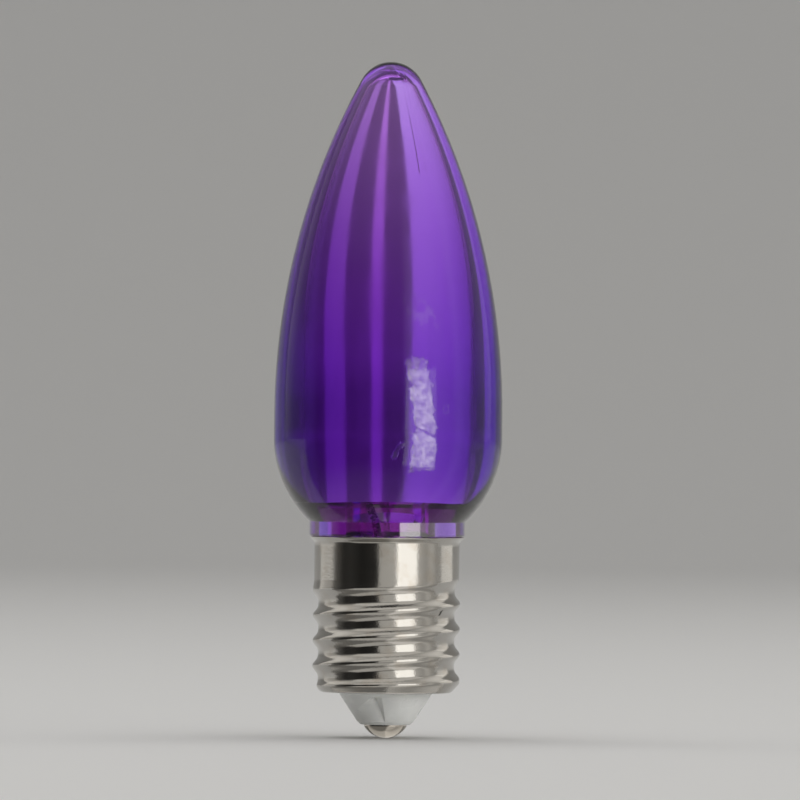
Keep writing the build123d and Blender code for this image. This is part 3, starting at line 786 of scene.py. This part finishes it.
def softbox(name, azimuth, elevation, distance, width, height, brightness, colour):
    # a rectangle of light that faces the bulb's middle; azimuth 0 is the camera's side
    # power = brightness times pi times its area
    a, e = math.radians(azimuth), math.radians(elevation)
    middle = np.array([0, 0, studio["aimZ"]])
    away = np.array([math.sin(a) * math.cos(e), -math.cos(a) * math.cos(e), math.sin(e)])
    place = middle + distance * away
    lamp = bpy.data.lights.new(name, "AREA")
    lamp.shape = "RECTANGLE"
    lamp.size = width * mm
    lamp.size_y = height * mm
    lamp.energy = brightness * math.pi * width * height * mm * mm
    lamp.color = colour
    holder = bpy.data.objects.new(name, lamp)
    holder.location = place * mm
    holder.rotation_euler = Vector((-away).tolist()).to_track_quat("-Z", "Y").to_euler()
    holder.visible_camera = False
    bpy.context.scene.collection.objects.link(holder)
    return holder


# brightness of the room round the bulb, by direction: 0 is the camera's side, positive to its right
room = {
    "ring": [(-180, 0.55), (-130, 0.5), (-112, 0.22), (-84, 0.1), (-74, 0.03), (-60, 0.04),
             (-40, 0.02), (-20, 0.03), (-8, 0.05), (14, 0.1), (22, 0.6), (54, 0.6), (66, 0.45),
             (76, 0.65), (84, 0.45), (100, 0.35), (125, 0.6), (180, 0.8)],
    "ringTop": (0.36, 0.66), "ringFoot": (-0.66, -0.36), "glow": 0.2, "full": 3.0,
    "ceiling": (0.3, 0.9), "ceilingTurn": (-0.3, 0.3), "tint": (1.0, 0.97, 0.92),
}


def makeWorld():
    # a ring of light and shade round the horizon, a faint glow under it, and above it a ceiling
    # that is brighter behind; ringTop, ringFoot and ceilingTurn are parts of the direction's length
    world = bpy.data.worlds.new("studioAir")
    bpy.context.scene.world = world
    world.use_nodes = True
    nodes, links = world.node_tree.nodes, world.node_tree.links
    place = nodes.new("ShaderNodeTexCoord")
    axes = nodes.new("ShaderNodeSeparateXYZ")
    links.new(place.outputs["Generated"], axes.inputs[0])
    toCamera = combine(nodes, links, "MULTIPLY", axes.outputs["Y"], -1.0)
    angle = combine(nodes, links, "ARCTAN2", axes.outputs["X"], toCamera)
    ramp = nodes.new("ShaderNodeValToRGB")
    stops = ramp.color_ramp.elements
    for degrees, light in room["ring"][1:-1]:
        stops.new(degrees / 360 + 0.5)
    for stop, (degrees, light) in zip(stops, room["ring"]):
        stop.color = (*[light / room["full"]] * 3, 1)
    share = rangeOf(nodes, links, angle, -math.pi, math.pi, 0.0, 1.0)
    links.new(share, ramp.inputs["Fac"])
    ring = combine(nodes, links, "MULTIPLY", ramp.outputs["Color"], room["full"])
    ceiling = rangeOf(nodes, links, axes.outputs["Y"], *room["ceilingTurn"], *room["ceiling"])
    high = rangeOf(nodes, links, axes.outputs["Z"], *room["ringTop"], 0.0, 1.0)
    low = rangeOf(nodes, links, axes.outputs["Z"], *room["ringFoot"], room["glow"], 0.0)
    ring = combine(nodes, links, "MAXIMUM", ring, low)
    mix = nodes.new("ShaderNodeMix")
    links.new(high, mix.inputs[0])
    links.new(ring, mix.inputs[2])
    links.new(ceiling, mix.inputs[3])
    nodes["Background"].inputs["Color"].default_value = (*room["tint"], 1)
    links.new(mix.outputs[0], nodes["Background"].inputs["Strength"])


def makeCamera():
    # level with the photo's middle row, so that the bulb's axis and contact fall on their pixels
    s = studio
    x = (s["frameCentre"] - s["axisX"]) / s["pixelsPerMm"]
    z = (s["tipY"] - s["frameCentre"]) / s["pixelsPerMm"]
    data = bpy.data.cameras.new("camera")
    data.sensor_width = s["sensor"]
    data.lens = s["sensor"] * s["distance"] * s["pixelsPerMm"] / (2 * s["frameCentre"])
    data.clip_end = s["farEnd"]
    camera = bpy.data.objects.new("camera", data)
    camera.location = (x * mm, -s["distance"] * mm, z * mm)
    camera.rotation_euler = (math.radians(90), math.radians(s["lean"]), 0)
    bpy.context.scene.collection.objects.link(camera)
    bpy.context.scene.camera = camera


makeStudio()
makeWorld()
makeCamera()
# azimuth, elevation, distance, width, height, brightness, colour
lamps = {
    "rearWide": (160, 12, 300, 188, 280, 1.1, (0.76, 1, 0.88)),
    "rearLeft": (-169, 12, 300, 39, 280, 0.54, (0.95, 1, 1)),
    "rearThin": (-178.3, 12, 300, 8.5, 280, 0.75, (1, 0.9, 1)),
    "windowOnCap": (33, 0, 300, 175, 340, 1.22, (1, 0.98, 0.95)),
    "windowOnBulb": (33, -10, 300, 175, 190, 1.1, (1, 0.98, 0.95)),
    "middleOnCap": (4, 0, 300, 178, 340, 0.52, (1, 0.97, 0.92)),
    "leftOnCap": (-112, 0, 300, 190, 340, 0.3, (1, 0.97, 0.92)),
    "rightOnCap": (112, 0, 300, 170, 340, 0.45, (1, 0.97, 0.92)),
    "leftOnCollar": (-105, 0, 300, 160, 120, 0.9, (0.2, 0.06, 1)),
    "rightOnCollar": (98, 0, 300, 260, 120, 1.2, (0.35, 0.13, 1)),
    "capFill": (0, 58, 400, 900, 270, 0.42, (1, 0.97, 0.92)),
    "capUnder": (0, -58, 300, 600, 220, 0.36, (1, 0.97, 0.92)),
    "noseFill": (45, 5, 180, 160, 90, 3.0, (1, 1, 1)),
    "overhead": (0, 90, 1100, 1100, 1100, 1.0, (1, 1, 1)),
}
# the pieces that a lamp lights, where it doesn't light them all
litBy = {
    "rearWide": ["envelopeWall", "neckMoulding"],
    "rearLeft": ["envelopeWall", "neckMoulding"],
    "rearThin": ["envelopeWall", "neckMoulding"],
    "windowOnCap": ["capShell", "neckMoulding"],
    "windowOnBulb": ["envelopeWall"],
    "middleOnCap": ["capShell"],
    "leftOnCap": ["capShell"],
    "rightOnCap": ["capShell"],
    "leftOnCollar": ["neckMoulding"],
    "rightOnCollar": ["neckMoulding"],
    "capFill": ["capShell"],
    "capUnder": ["capShell"],
    "noseFill": ["insulatorNose", "contactRivet"],
}
unmirrored = ["rearWide", "rearLeft", "rearThin", "overhead"]  # these only shine through or down
for lampName, values in lamps.items():
    holder = softbox(lampName, *values)
    holder.visible_glossy = lampName not in unmirrored
    if lampName in litBy:
        receivers = bpy.data.collections.new(lampName + "Receivers")
        for pieceName in litBy[lampName]:
            receivers.objects.link(bpy.data.objects[pieceName])
        holder.light_linking.receiver_collection = receivers
bpy.context.scene.view_settings.view_transform = "Standard"
print("studio ready")
